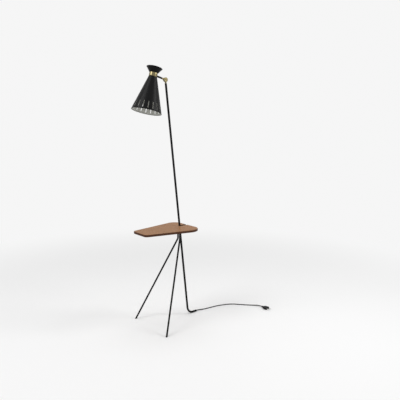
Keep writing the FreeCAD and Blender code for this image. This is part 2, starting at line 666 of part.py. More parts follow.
def make_lampholder():
    """The lampholder on the neck nipple, and the bulb screwed into it."""
    body = new_body("lampholder_body")
    floor, thread = "-seat - holder_top", "nipple_dia / 2 + snug"
    wire, deep = "wire_dia / 2 + air", "-seat - nipple_drop - air"
    turned(body, [(thread, "-seat"), ("holder_dia / 2 - holder_ease", "-seat"),
                  ("holder_dia / 2", "-seat - holder_ease"), ("holder_dia / 2", "-seat - holder_length"),
                  ("sleeve_dia / 2 + fit", "-seat - holder_length"),
                  ("sleeve_dia / 2 + fit", floor), (wire, floor), (wire, deep), (thread, deep)])
    in_shade(body)
    sleeve = new_body("lampholder_sleeve")
    turned(sleeve, [("sleeve_dia / 2 - sleeve_wall", floor), ("sleeve_dia / 2", floor),
                    ("sleeve_dia / 2", floor + " - bulb_cap_length - contact_long"),
                    ("sleeve_dia / 2 - sleeve_wall", floor + " - bulb_cap_length - contact_long")])
    in_shade(sleeve)
    contact = new_body("lampholder_contact")
    tip = floor + " - contact_long"
    turned(contact, [("0", floor), ("contact_dia / 2", floor),
                     ("contact_dia / 2", floor + " - ease"),
                     ("contact_dia / 4", floor + " - ease"), ("contact_dia / 4", tip), ("0", tip)])
    in_shade(contact)
    cap = new_body("bulb_cap")
    low = tip + " - bulb_cap_length"
    turned(cap, [("0", tip), ("bulb_cap_dia / 6", tip), ("bulb_cap_dia / 6", tip + " - 1.5 * ease"),
                 ("bulb_cap_dia / 2", tip + " - contact_long"), ("bulb_cap_dia / 2", low),
                 ("0", low)])
    in_shade(cap)
    bulb = new_body("bulb_glass")
    end, wide = tip + " - bulb_length", "bulb_dia / 2"
    neck, shoulder = "bulb_cap_dia / 2 - air", low + " - 1.25 * bulb_cap_dia"
    bend = low + " - contact_long"
    turned(bulb, [("0", end), (wide, end, wide + " - 2 * air"), (wide, shoulder, "bulb_round"),
                  (neck, bend, "bulb_neck_round"), (neck, low), (neck + " - glass", low),
                  (neck + " - glass", bend + " - air", "bulb_neck_round + glass"),
                  (wide + " - glass", shoulder + " - glass / 2", "bulb_round - glass"),
                  (wide + " - glass", end + " + glass", wide + " - glass - 2 * air"),
                  ("0", end + " + glass")])
    in_shade(bulb)


# ---------------------------------------------------------------- cord and plug

def rounded_path(points):
    """Straight runs with the largest tangent arc at each point, and each arc's radius."""
    edges, radii, at = [], [], points[0]
    for before, here, after in zip(points, points[1:], points[2:]):
        back, ahead = before - here, after - here
        turn = math.pi - back.getAngle(ahead)
        reach = 0.45 * min(back.Length, ahead.Length)
        radii.append(reach / math.tan(turn / 2))
        back.normalize()
        ahead.normalize()
        start, end = here + back * reach, here + ahead * reach
        inward = (back + ahead).normalize()
        depth = radii[-1] / math.cos(turn / 2) - radii[-1]
        edges.append(Part.LineSegment(at, start).toShape())
        edges.append(Part.Arc(start, here + inward * depth, end).toShape())
        at = end
    edges.append(Part.LineSegment(at, points[-1]).toShape())
    return Part.Wire(edges), radii


def make_cord():
    """The free cord from the stub's end to the plug, and the plug lying on the floor."""
    side = value("pole_x")
    points = [Vector(side + x, y, z) for x, y, z in CORD_ROUTE]
    path, radii = rounded_path(points)
    radius = value("cord_dia") / 2
    start = Part.Wire(Part.Circle(points[0], points[1] - points[0], radius).toShape())
    tube = path.makePipeShell([start], True, False)
    cord = doc.addObject("Part::Feature", "cord")
    cord.Label = "cord"
    cord.Shape = tube
    parts.append(cord)
    ideal = math.pi * radius ** 2 * path.Length
    print("cord length %.0f, volume %.4f of section times length, smallest radius %.0f"
          % (path.Length, tube.Volume / ideal, min(radii)))

    last = points[-1] - points[-2]
    heading = "%.6f" % math.degrees(math.atan2(last.y, last.x))
    rest = (points[-1].x, points[-1].y, points[-1].z, [(Z_AXIS, heading)])
    plug = new_body("plug_body")
    boot_end = "boot_long + boot_dia / 2"
    turned(plug, [("0", "0"), ("0", "cord_dia / 2 + ease"), ("boot_long", "boot_dia / 2"),
                  (boot_end, "boot_dia / 2"), (boot_end, "0")], axis="H_Axis")
    plan = new_sketch(plug, "XY", "-plug_thick / 2")
    widest, front = "boot_long + plug_long / 2", "boot_long + plug_long"
    outline(plan, [("boot_long", "-plug_wide / 4", "plug_round / 4"),
                   (widest, "-plug_wide / 2", "plug_round"),
                   (front, "-plug_wide / 2", "plug_round / 6"),
                   (front, "plug_wide / 2", "plug_round / 6"),
                   (widest, "plug_wide / 2", "plug_round"),
                   ("boot_long", "plug_wide / 4", "plug_round / 4")])
    raised(plug, plan, "plug_thick")
    seat(plug, *rest)
    pins = []
    for side in (-1, 1):
        pin = doc.addObject("Part::Cylinder", "plug_pin_%s" % ("right" if side < 0 else "left"))
        pin.setExpression("Radius", bound("pin_dia / 2"))
        pin.setExpression("Height", bound("pin_long"))
        seat(pin, "boot_long + plug_long", "%d * pin_pitch / 2" % side, "0", [(Y_AXIS, "90")])
        pins.append(pin)
    pair = doc.addObject("Part::Compound", "plug_pins")
    pair.Label = "plug_pins"
    pair.Links = pins
    seat(pair, *rest)
    parts.append(pair)


def write_parts():
    """Check every object and write each piece to a STEP file of its own name."""
    doc.recompute()
    for item in doc.Objects:
        if {"Invalid", "Error"} & set(item.State):
            raise RuntimeError("%s failed: %s" % (item.Name, item.State))
    os.makedirs("parts", exist_ok=True)
    for part in parts:
        shape = part.Shape
        if shape.isNull() or not shape.isValid() or not shape.Solids:
            raise RuntimeError("%s has no sound solid" % part.Label)
        shape.exportStep("parts/%s.step" % part.Label)
        print("%-22s %2d solid(s) %10.1f mm3" % (part.Label, len(shape.Solids), shape.Volume))


make_pole()
make_leg(1, "left")
make_leg(-1, "right")
make_board()
make_hub()
make_fasteners()
make_swivel()
make_arm()
make_shade()
make_lampholder()
make_cord()
write_parts()
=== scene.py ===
"""Looks of the floor lamp with a table board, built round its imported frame.

All lengths are in metres, in the CAD model's frame. The shade's pieces are drawn in the shade's
own frame, with the origin in the neck ring and Z up the shade's axis, and then put in place.
"""
import json
from math import asin, cos, pi, radians, sin

import bmesh
import bpy
from bpy.props import FloatProperty, FloatVectorProperty, IntProperty, PointerProperty
from mathutils import Matrix, Vector


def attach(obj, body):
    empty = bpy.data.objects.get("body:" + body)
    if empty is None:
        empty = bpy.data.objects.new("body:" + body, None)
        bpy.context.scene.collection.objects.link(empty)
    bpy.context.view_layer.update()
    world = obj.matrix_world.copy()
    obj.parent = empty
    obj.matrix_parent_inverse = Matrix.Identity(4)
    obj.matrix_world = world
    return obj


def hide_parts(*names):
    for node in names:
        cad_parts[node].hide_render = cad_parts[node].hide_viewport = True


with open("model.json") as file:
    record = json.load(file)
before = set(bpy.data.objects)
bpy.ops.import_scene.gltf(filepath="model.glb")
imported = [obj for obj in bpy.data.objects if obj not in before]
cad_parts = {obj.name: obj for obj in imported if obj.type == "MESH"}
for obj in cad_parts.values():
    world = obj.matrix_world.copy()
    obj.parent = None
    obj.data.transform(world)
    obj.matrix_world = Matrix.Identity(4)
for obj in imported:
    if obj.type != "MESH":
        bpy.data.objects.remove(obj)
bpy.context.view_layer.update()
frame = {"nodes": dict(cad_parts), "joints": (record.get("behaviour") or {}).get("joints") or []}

bl_info = {
    "name": "Floor lamp with table board",
    "version": (1, 0, 0),
    "blender": (4, 5, 0),
    "location": "View3D > Sidebar > Lamp",
    "description": "Dresses the lamp's frame: paint, brass, teak, cord, plug and stage",
    "category": "Object",
}

MM = 0.001
KNUCKLE = Vector(next(j["pos_m"] for j in frame["joints"] if j["name"] == "head_tilt"))


# ------------------------------------------------------------ sizes and colours

def length(name, default, about):
    return FloatProperty(name=name, description=about, default=default, unit="LENGTH",
                         precision=5)


def share(name, default, about):
    return FloatProperty(name=name, description=about, default=default, min=0.0, max=1.0)


def colour(name, default, about):
    return FloatVectorProperty(name=name, description=about, default=default, size=3,
                               subtype="COLOR", min=0.0, max=1.0)


class ShadeSizes(bpy.types.PropertyGroup):
    """The two cones, their neck ring and the arm that carries them."""
    tilt: FloatProperty(name="Tilt", description="Lean of the shade's axis", unit="ROTATION",
                        default=radians(13.9))
    reach: length("Arm reach", 0.0814, "From the knuckle's middle to the shade's axis")
    neck: length("Neck radius", 0.0225, "Radius of the neck ring and of both cones there")
    ring: length("Ring height", 0.020, "Height of the neck ring")
    ring_wall: length("Ring wall", 0.0025, "Thickness of the neck ring's wall")
    ring_ease: length("Ring edges", 0.0009, "Radius of the neck ring's eased edges")
    rim: length("Rim radius", 0.0815, "Radius of the lower cone's rim")
    drop: length("Lower cone", 0.1883, "Height of the lower cone")
    flare: length("Flare radius", 0.0425, "Radius of the upper cone's rim")
    rise: length("Upper cone", 0.0278, "Height of the upper cone")
    fold: length("Fold", 0.0015, "Size of the fold round the upper cone's floor")
    sheet: length("Sheet", 0.0009, "Thickness of the spun sheet")
    hem: length("Hem", 0.0011, "Radius of the rolled hem at a rim")
    slots: IntProperty(name="Slots", description="Slots round the lower cone", default=18,
                       min=3, max=40)
    slot_width: length("Slot width", 0.004, "Width of a slot")
    slot_length: length("Slot length", 0.037, "Length of a slot")
    slot_low: length("Slot to rim", 0.009, "From the rim up to the slots")


class BoardSizes(bpy.types.PropertyGroup):
    """The teak board."""
    top: colour("Teak", (0.278, 0.146, 0.070), "Colour of the oiled top")
    # The edge colour is partly the board's own darker edge and partly painted shade on its
    # sides.
    edge: colour("Edge", (0.058, 0.022, 0.010), "Colour of the board's dark edge")
    line: length("Grain", 0.0115, "Distance between the wider grain lines")
    # The slot's start and half width set where the painted shade in the slot goes.
    slot_start: length("Slot start", 0.070, "Where the slot begins, along X")
    slot_half: length("Slot half", 0.009, "Half the slot's width with its rounded edges")


class CordSizes(bpy.types.PropertyGroup):
    """The free cord and its plug."""
    diameter: length("Cord", 0.0055, "Diameter of the cord")
    run: length("Cord length", 0.456, "Length from the stub to the plug")
    sheath: colour("Sheath", (0.009, 0.009, 0.010), "Colour of the cord")


class FinishColours(bpy.types.PropertyGroup):
    """Paint, metal and plastic."""
    paint: colour("Paint", (0.0045, 0.0045, 0.0048), "Black satin powder coat")
    # The inside's colour is grey rather than white as painted shade inside the cones.
    inside: colour("Inside", (0.405, 0.408, 0.370), "White lacquer inside the cones")
    # The polished brass is set darker than the knuckle's brass as painted shade: the ring's dark
    # reflections between its highlights are painted into its colour.
    brass: colour("Brass", (0.205, 0.172, 0.090), "Polished brass")
    knuckle: colour("Knuckle", (0.36, 0.300, 0.150), "Satin brass of the knuckle")
    steel: colour("Steel", (0.58, 0.58, 0.60), "Zinc on the screws and nuts")
    nickel: colour("Nickel", (0.72, 0.71, 0.69), "Nickel on the plug's pins")
    plastic: colour("Plastic", (0.009, 0.009, 0.0095), "Black moulded plastic")
    nylon: colour("Nylon", (0.74, 0.73, 0.69), "White nylon of washers and wire sleeves")
    casting: colour("Casting", (0.006, 0.006, 0.0065), "Black paint on the rough hub")


class StageSizes(bpy.types.PropertyGroup):
    """Camera, lights and floor."""
    camera: FloatVectorProperty(name="Camera", description="Place of the camera",
                                default=(-1.4260, -1.9453, 1.1123), subtype="TRANSLATION")
    heading: FloatVectorProperty(name="Heading", description="Where the camera looks",
                                 default=(0.6428, 0.7493, -0.1590), subtype="DIRECTION")
    lens: FloatProperty(name="Lens", description="Focal length for a 36 mm sensor",
                        default=38.757, min=1.0)
    backdrop: share("Backdrop", 0.92, "Level of the pale background")
    floor_tone: share("Floor", 0.872, "Level of the floor's paint")
    surround: share("Surround", 0.56, "Level of the soft light from all round")
    fade_start: length("Fade start", 0.9, "Where the floor starts to fade into the backdrop")
    fade_end: length("Fade end", 2.6, "Where only the backdrop is left")


# ------------------------------------------------------------ material nodes

# Depth in metres and detail of the fine grain on paint and plastic.
GRAIN_DEPTH, GRAIN_DETAIL = 0.0003, 2.0


def feed(tree, socket, given):
    """Link another node's output to a socket, or set the socket to a plain value."""
    if isinstance(given, bpy.types.NodeSocket):
        tree.links.new(given, socket)
    else:
        socket.default_value = given


def node(tree, kind, **settings):
    """Add a node, set its attributes, and feed its inputs given by name or number."""
    made = tree.nodes.new(kind)
    inputs = settings.pop("inputs", {})
    for key, setting in settings.items():
        setattr(made, key, setting)
    for key, given in inputs.items():
        feed(tree, made.inputs[key], given)
    return made


def maths(tree, operation, first, second=0.0):
    return node(tree, "ShaderNodeMath", operation=operation,
                inputs={0: first, 1: second}).outputs[0]


def new_material(name):
    """An empty material's node tree and its Principled shader."""
    made = bpy.data.materials.new(name)
    made.use_nodes = True
    tree = made.node_tree
    tree.nodes.clear()
    shader = node(tree, "ShaderNodeBsdfPrincipled")
    node(tree, "ShaderNodeOutputMaterial", inputs={0: shader.outputs[0]})
    return tree, shader


def here(tree):
    return node(tree, "ShaderNodeTexCoord").outputs["Object"]


def noise(tree, place, scale, detail=3.0, rough=0.5):
    return node(tree, "ShaderNodeTexNoise",
                inputs={"Vector": place, "Scale": scale, "Detail": detail,
                        "Roughness": rough}).outputs[0]


def spread(tree, value, low, high):
    """Map a 0 to 1 value onto low to high."""
    return node(tree, "ShaderNodeMapRange",
                inputs={"Value": value, "To Min": low, "To Max": high}).outputs[0]


def blend_colours(tree, amount, first, second):
    return node(tree, "ShaderNodeMix", data_type="RGBA",
                inputs={0: amount, 6: first, 7: second}).outputs[2]


def bumped(tree, shader, height, strength, depth=GRAIN_DEPTH):
    bump = node(tree, "ShaderNodeBump",
                inputs={"Height": height, "Strength": strength, "Distance": depth})
    tree.links.new(bump.outputs[0], shader.inputs["Normal"])


def rgba(tone, brightness=1.0):
    return (*[c * brightness for c in tone], 1.0)


def clouded(tree, shader, place, tones, clouds, rough, stains):
    """Soft clouds between two tones and an uneven gloss. clouds and stains: scale, detail."""
    shade = blend_colours(tree, noise(tree, place, *clouds), *tones)
    tree.links.new(shade, shader.inputs["Base Color"])
    gloss = spread(tree, noise(tree, place, *stains), *rough)
    tree.links.new(gloss, shader.inputs["Roughness"])


def powder_coat(name, paint, rough):
    """Satin powder coat: a fine orange peel, faint cloudiness and a little dust."""
    tree, shader = new_material(name)
    place = here(tree)
    clouded(tree, shader, place, (rgba(paint, 0.85), rgba(paint, 1.2)), (9.0, 2.0),
            (rough - 0.05, rough + 0.06), (60.0, 4.0))
    shader.inputs["Specular IOR Level"].default_value = 0.09
    bumped(tree, shader, noise(tree, place, 1400.0, GRAIN_DETAIL), 0.035)


def lacquer(name, paint):
    """White stove enamel inside the cones."""
    tree, shader = new_material(name)
    place = here(tree)
    clouded(tree, shader, place, (rgba(paint, 0.95), rgba(paint, 1.03)), (14.0,),
            (0.40, 0.52), (80.0,))
    bumped(tree, shader, noise(tree, place, 900.0, GRAIN_DETAIL), 0.08)


def moulded(name, plastic, rough, grain=1100.0):
    """Moulded plastic with a fine spark-eroded grain."""
    tree, shader = new_material(name)
    place = here(tree)
    clouded(tree, shader, place, (rgba(plastic, 0.85), rgba(plastic, 1.2)), (40.0,),
            (rough - 0.06, rough + 0.08), (150.0,))
    shader.inputs["Specular IOR Level"].default_value = 0.12
    bumped(tree, shader, noise(tree, place, grain, GRAIN_DETAIL), 0.16)


def opal_glass(name):
    """Opal glass: milky, smooth outside."""
    tree, shader = new_material(name)
    clouded(tree, shader, here(tree), ((0.86, 0.85, 0.81, 1), (0.93, 0.92, 0.88, 1)), (30.0,),
            (0.10, 0.18), (90.0,))
    shader.inputs["Subsurface Weight"].default_value = 0.3
    shader.inputs["Subsurface Radius"].default_value = (0.01, 0.01, 0.01)


def round_axis(tree, place, middle):
    """Distance from an axis along Y through a point."""
    offset = node(tree, "ShaderNodeVectorMath", operation="SUBTRACT",
                  inputs={0: place, 1: middle}).outputs[0]
    flat = node(tree, "ShaderNodeVectorMath", operation="MULTIPLY",
                inputs={0: offset, 1: (1.0, 0.0, 1.0)}).outputs[0]
    return node(tree, "ShaderNodeVectorMath", operation="LENGTH",
                inputs={0: flat}).outputs["Value"]


def turned_metal(name, metal, rough, lines, painted_shade_round=None, painted_shade_from=1.0):
    """Turned and polished metal: fine lathe lines, soft stains and small scratches.

    Round painted_shade_round, a point on an axis along Y, the metal is painted darker from
    painted_shade_from outwards, as painted shade towards a disc's rim.
    """
    tree, shader = new_material(name)
    shader.inputs["Metallic"].default_value = 1.0
    place = here(tree)
    stain = noise(tree, place, 35.0, 3.0, 0.6)
    shade = blend_colours(tree, stain, rgba(metal, 0.74), rgba(metal, 1.18))
    # Painted shade: darker towards the rim of a disc round the given axis.
    if painted_shade_round is not None:
        radius = round_axis(tree, place, painted_shade_round)
        painted_shade_share = node(tree, "ShaderNodeMapRange", interpolation_type="SMOOTHSTEP",
                    inputs={"Value": radius, "From Min": painted_shade_from,
                            "From Max": painted_shade_from * 1.35, "To Max": 0.8}).outputs[0]
        shade = blend_colours(tree, painted_shade_share, shade, rgba(metal, 0.30))
    tree.links.new(shade, shader.inputs["Base Color"])
    scratches = noise(tree, place, 120.0, 5.0)
    gloss = spread(tree, scratches, rough * 0.75, rough * 1.35)
    tree.links.new(gloss, shader.inputs["Roughness"])
    stretched = node(tree, "ShaderNodeMapping",
                     inputs={"Vector": place, "Scale": (120.0, 120.0, lines)}).outputs[0]
    bumped(tree, shader, noise(tree, stretched, 1.0, GRAIN_DETAIL), 0.05, 0.0002)


def teak(name, sizes):
    """Oiled teak along the board, with dark pores, wider bands, a dark edge that is partly
    painted shade, and painted shade in the slot.
    """
    tree, shader = new_material(name)
    place = here(tree)
    stretch = 12.0
    along = node(tree, "ShaderNodeMapping",
                 inputs={"Vector": place, "Rotation": (0.0, 0.0, radians(-4)),
                         "Scale": (1.0, stretch, stretch)}).outputs[0]
    warp = noise(tree, along, 3.2, 3.0, 0.55)
    parted = node(tree, "ShaderNodeSeparateXYZ", inputs={"Vector": along})
    rings = maths(tree, "ADD", parted.outputs[1], maths(tree, "MULTIPLY", warp, 1.7))
    turns = maths(tree, "MULTIPLY", rings, 2 * pi / (stretch * sizes.line))
    band = spread(tree, maths(tree, "SINE", turns), 0.0, 1.0)
    grain = blend_colours(tree, band, rgba(sizes.top, 0.88), rgba(sizes.top, 1.10))

    fine = node(tree, "ShaderNodeMapping",
                inputs={"Vector": place, "Scale": (9.0, 420.0, 420.0)}).outputs[0]
    pores = noise(tree, fine, 1.0, 4.0, 0.65)
    pore_share = spread(tree, pores, -0.25, 0.75)
    grain = blend_colours(tree, pore_share, grain, rgba(sizes.top, 0.72))
    cloud = noise(tree, place, 5.0, 2.0)
    redder = (sizes.top[0] * 1.16, sizes.top[1] * 1.02, sizes.top[2] * 0.92, 1)
    grain = blend_colours(tree, maths(tree, "MULTIPLY", cloud, 0.45), grain, redder)

    # The sides, where the surface turns away from flat, take the edge colour: partly the board's
    # darker edge, partly painted shade. Inside the slot they are darker still, as painted shade.
    tilt = node(tree, "ShaderNodeSeparateXYZ",
                inputs={"Vector": node(tree, "ShaderNodeNewGeometry").outputs["Normal"]})
    side = node(tree, "ShaderNodeMapRange",
                inputs={"Value": maths(tree, "ABSOLUTE", tilt.outputs[2]), "From Min": 0.72,
                        "From Max": 0.97, "To Min": 1.0, "To Max": 0.0}).outputs[0]
    edge = blend_colours(tree, pore_share, rgba(sizes.edge, 1.25), rgba(sizes.edge, 0.75))
    spot = node(tree, "ShaderNodeSeparateXYZ", inputs={"Vector": place})
    past_start = maths(tree, "GREATER_THAN", spot.outputs[0], sizes.slot_start)
    off_middle = maths(tree, "ABSOLUTE", spot.outputs[1])
    slot_painted_shade = maths(tree, "MULTIPLY", past_start,
                    maths(tree, "LESS_THAN", off_middle, sizes.slot_half))
    # Painted shade: the slot's walls are made near black.
    edge = blend_colours(tree, slot_painted_shade, edge, rgba(sizes.edge, 0.25))

    tree.links.new(blend_colours(tree, side, grain, edge), shader.inputs["Base Color"])
    tree.links.new(spread(tree, pores, 0.42, 0.60), shader.inputs["Roughness"])
    shader.inputs["Specular IOR Level"].default_value = 0.13
    bumped(tree, shader, pores, 0.22, 0.0004)


def finishes():
    """All the materials by name. They are made when first asked for."""
    scene = bpy.context.scene
    if "satin_black" not in bpy.data.materials:
        tones = scene.lamp_finish
        powder_coat("satin_black", tones.paint, 0.37)
        # The lacquer's grey stands in for the shade inside the cones, as painted shade.
        lacquer("white_lacquer", tones.inside)
        # This brass is darker than the knuckle's as painted shade, for the ring's dark
        # reflections.
        turned_metal("polished_brass", tones.brass, 0.17, 900.0)
        # The knuckle's brass is darker towards its disc's rim as painted shade.
        turned_metal("knuckle_brass", tones.knuckle, 0.20, 900.0, tuple(KNUCKLE), 0.0068)
        turned_metal("zinc_steel", tones.steel, 0.30, 600.0)
        turned_metal("nickel_pin", tones.nickel, 0.16, 700.0)
        moulded("moulded_black", tones.plastic, 0.46)
        moulded("cord_rubber", scene.lamp_cord.sheath, 0.50, 700.0)
        moulded("nylon", tones.nylon, 0.50)
        moulded("casting", tones.casting, 0.62, 500.0)
        opal_glass("opal")
        teak("oiled_teak", scene.lamp_board)
    return bpy.data.materials


# ------------------------------------------------------------ mesh helpers

def as_mesh(shape, name, paint=None):
    """Turn a bmesh into a mesh, and free it."""
    mesh = bpy.data.meshes.new(name)
    shape.to_mesh(mesh)
    shape.free()
    if paint is not None:
        mesh.materials.append(paint)
    return mesh


def add_piece(name, mesh, body, replaced=(), smooth=35.0):
    """Finish a mesh, put it in the scene and let it ride on its body."""
    mesh.polygons.foreach_set("use_smooth", [True] * len(mesh.polygons))
    mesh.set_sharp_from_angle(angle=radians(smooth))
    piece = bpy.data.objects.new(name, mesh)
    bpy.context.scene.collection.objects.link(piece)
    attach(piece, body)
    if replaced:
        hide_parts(*replaced)


def in_shade(sizes):
    """From the shade's own frame to the CAD model's."""
    turn = Matrix.Rotation(sizes.tilt, 4, "Y")
    ring = KNUCKLE + turn @ Vector((-sizes.reach, 0.0, 0.0))
    return Matrix.Translation(ring) @ turn


def lathe(profile, place, paint, steps=128, closed=True):
    """Turn a half outline of (radius, height) points round Z and put it in place."""
    on_axis = 1e-7
    shape = bmesh.new()
    rings = []
    for radius, height in profile:
        if radius < on_axis:
            rings.append([shape.verts.new((0, 0, height))] * steps)
        else:
            rings.append([shape.verts.new((radius * cos(2 * pi * k / steps),
                                           radius * sin(2 * pi * k / steps), height))
                          for k in range(steps)])
    pairs = list(zip(rings, rings[1:])) + ([(rings[-1], rings[0])] if closed else [])
    for low, high in pairs:
        for k in range(steps):
            after = (k + 1) % steps
            corners = [low[k], low[after], high[after], high[k]]
            corners = [c for i, c in enumerate(corners) if c not in corners[:i]]
            if len(corners) > 2:
                shape.faces.new(corners)
    bmesh.ops.recalc_face_normals(shape, faces=shape.faces)
    mesh = as_mesh(shape, "turned", paint)
    mesh.transform(place)
    return mesh


def arc(centre, radius, start, end, count):
    """Points of an arc in the half outline, in degrees."""
    steps = [radians(start + (end - start) * k / count) for k in range(count + 1)]
    return [(centre[0] + radius * cos(a), centre[1] + radius * sin(a)) for a in steps]


def add_hem(name, centre, sizes, steps):
    """A rim's sheet rolled into a thin tube that is all but closed."""
    roll = arc(centre, sizes.hem, 0, 345, 12)
    mesh = lathe(roll, in_shade(sizes), finishes()["satin_black"], steps)
    add_piece(name, mesh, "head")


def node_tree(name, sockets):
    """A geometry tree with a mesh going in and out, and the named inputs."""
    tree = bpy.data.node_groups.new(name, "GeometryNodeTree")
    tree.interface.new_socket("Geometry", in_out="OUTPUT", socket_type="NodeSocketGeometry")
    tree.interface.new_socket("Geometry", in_out="INPUT", socket_type="NodeSocketGeometry")
    for label, kind in sockets:
        tree.interface.new_socket(label, in_out="INPUT", socket_type=kind)
    return tree, node(tree, "NodeGroupInput").outputs, node(tree, "NodeGroupOutput").inputs


def worked_in(mesh, kind, set_up):
    """A new mesh with one modifier worked in, which set_up has set."""
    seed = bpy.data.objects.new("seed", mesh)
    bpy.context.scene.collection.objects.link(seed)
    set_up(seed.modifiers.new("step", kind))
    graph = bpy.context.evaluated_depsgraph_get()
    made = bpy.data.meshes.new_from_object(seed.evaluated_get(graph))
    bpy.data.objects.remove(seed)
    return made


def grown(mesh, tree, given):
    """Run a geometry tree on a mesh, with its named inputs set."""
    def set_up(growth):
        growth.node_group = tree
        for item in tree.interface.items_tree:
            if item.in_out == "INPUT" and item.name in given:
                growth[item.identifier] = given[item.name]
    return worked_in(mesh, "NODES", set_up)


def ring_tree():
    """Copies of the mesh round the Z axis, joined at their seams."""
    seam = 0.00003
    tree, given, made = node_tree("copies_round_axis", [("Count", "NodeSocketInt"),
                                                        ("Finish", "NodeSocketMaterial")])
    line = node(tree, "GeometryNodeMeshLine",
                inputs={"Count": given["Count"], "Offset": (0.0, 0.0, 0.0)})
    step = maths(tree, "DIVIDE", 2 * pi, given["Count"])
    angle = maths(tree, "MULTIPLY", node(tree, "GeometryNodeInputIndex").outputs[0], step)
    turn = node(tree, "ShaderNodeCombineXYZ", inputs={"Z": angle})
    copies = node(tree, "GeometryNodeInstanceOnPoints",
                  inputs={"Points": line.outputs[0], "Instance": given["Geometry"],
                          "Rotation": turn.outputs[0]})
    real = node(tree, "GeometryNodeRealizeInstances", inputs={"Geometry": copies.outputs[0]})
    joined = node(tree, "GeometryNodeMergeByDistance",
                  inputs={"Geometry": real.outputs[0], "Distance": seam})
    painted = node(tree, "GeometryNodeSetMaterial",
                   inputs={"Geometry": joined.outputs[0], "Material": given["Finish"]})
    tree.links.new(painted.outputs[0], made[0])
    return tree


# ------------------------------------------------------------ pieces

# Rows of the lower cone's sheet above a slot, round either end, beside it and below it.
ROWS_ABOVE, ROWS_ROUND, ROWS_BESIDE, ROWS_BELOW = 10, 5, 4, 2
SECTOR_COLUMNS = 6
FLARE_ROWS = 8


def slot_rows(sizes):
    """Rows down the lower cone: height, half the slot's width there, and if it is open."""
    top, half = -sizes.ring / 2, sizes.slot_width / 2
    rim = top - sizes.drop
    low = rim + sizes.slot_low
    high = low + sizes.slot_length
    turns = [radians(90 * k / ROWS_ROUND) for k in range(ROWS_ROUND + 1)]
    rows = [(top + (high - top) * k / ROWS_ABOVE, 0.0, False) for k in range(ROWS_ABOVE)]
    rows += [(high - half + half * cos(a), half * sin(a), True) for a in turns]
    rows += [(high - half + (low - high + 2 * half) * k / ROWS_BESIDE, half, True)
             for k in range(1, ROWS_BESIDE)]
    rows += [(low + half - half * cos(a), half * sin(a), True) for a in reversed(turns)]
    rows += [(low + (rim - low) * k / ROWS_BELOW, 0.0, False)
             for k in range(1, ROWS_BELOW + 1)]
    return rows


def cone_sector(sizes):
    """One sector of the lower cone as a sheet, from the neck to the rim, with its slot."""
    columns = SECTOR_COLUMNS
    half_sector = pi / sizes.slots
    slope = (sizes.rim - sizes.neck) / sizes.drop
    least_gap = sizes.slot_width / 14
    rows = slot_rows(sizes)
    shape = bmesh.new()
    lines = []
    for height, gap, _ in rows:
        radius = sizes.neck + (-sizes.ring / 2 - height) * slope
        edge = asin(max(gap, least_gap) / radius)
        right = [edge + (half_sector - edge) * k / columns for k in range(columns + 1)]
        angles = [-a for a in reversed(right)] + right
        lines.append([shape.verts.new((radius * cos(a), radius * sin(a), height))
                      for a in angles])
    for (upper, lower), above, below in zip(zip(lines, lines[1:]), rows, rows[1:]):
        for k in range(2 * columns + 1):
            if not (above[2] and below[2] and k == columns):
                shape.faces.new([upper[k], upper[k + 1], lower[k + 1], lower[k]])
    return as_mesh(shape, "cone_sector")


def close_top(mesh, height):
    """Close a turned sheet's open end at one height, and turn its faces outwards."""
    same_height = 1e-5
    shape = bmesh.new()
    shape.from_mesh(mesh)
    end = [e for e in shape.edges if e.is_boundary
           and all(abs(v.co.z - height) < same_height for v in e.verts)]
    middle = shape.verts.new((0, 0, height))
    for side in end:
        shape.faces.new([*side.verts, middle])
    bmesh.ops.recalc_face_normals(shape, faces=shape.faces)
    outward = sum(f.normal.dot(f.calc_center_median() * Vector((1, 1, 0)))
                  for f in shape.faces)
    if outward < 0:
        bmesh.ops.reverse_faces(shape, faces=shape.faces)
    shape.to_mesh(mesh)
    shape.free()


def walled(mesh, thickness):
    """Give a sheet its thickness, inwards, with the next material on its inside."""
    def set_up(wall):
        wall.thickness = thickness
        wall.offset = -1.0
        wall.use_even_offset = True
        wall.material_offset = 1
    return worked_in(mesh, "SOLIDIFY", set_up)


class LAMP_OT_cone(bpy.types.Operator):
    """Make the lower cone with its row of slots, rolled hem and white inside"""
    bl_idname = "lamp.cone"
    bl_label = "Lower cone"

    def execute(self, context):
        sizes, paint = context.scene.lamp_shade, finishes()
        top = -sizes.ring / 2
        rim = top - sizes.drop
        mesh = grown(cone_sector(sizes), ring_tree(),
                     {"Count": sizes.slots, "Finish": paint["satin_black"]})
        mesh.materials.append(paint["white_lacquer"])
        close_top(mesh, top)
        mesh = walled(mesh, sizes.sheet)
        mesh.transform(in_shade(sizes))
        add_piece("cone", mesh, "head", ["shade_cone"], 30.0)
        centre = (sizes.rim - sizes.hem * 0.7, rim + sizes.hem * 0.9)
        add_hem("cone_hem", centre, sizes, 144)
        return {"FINISHED"}


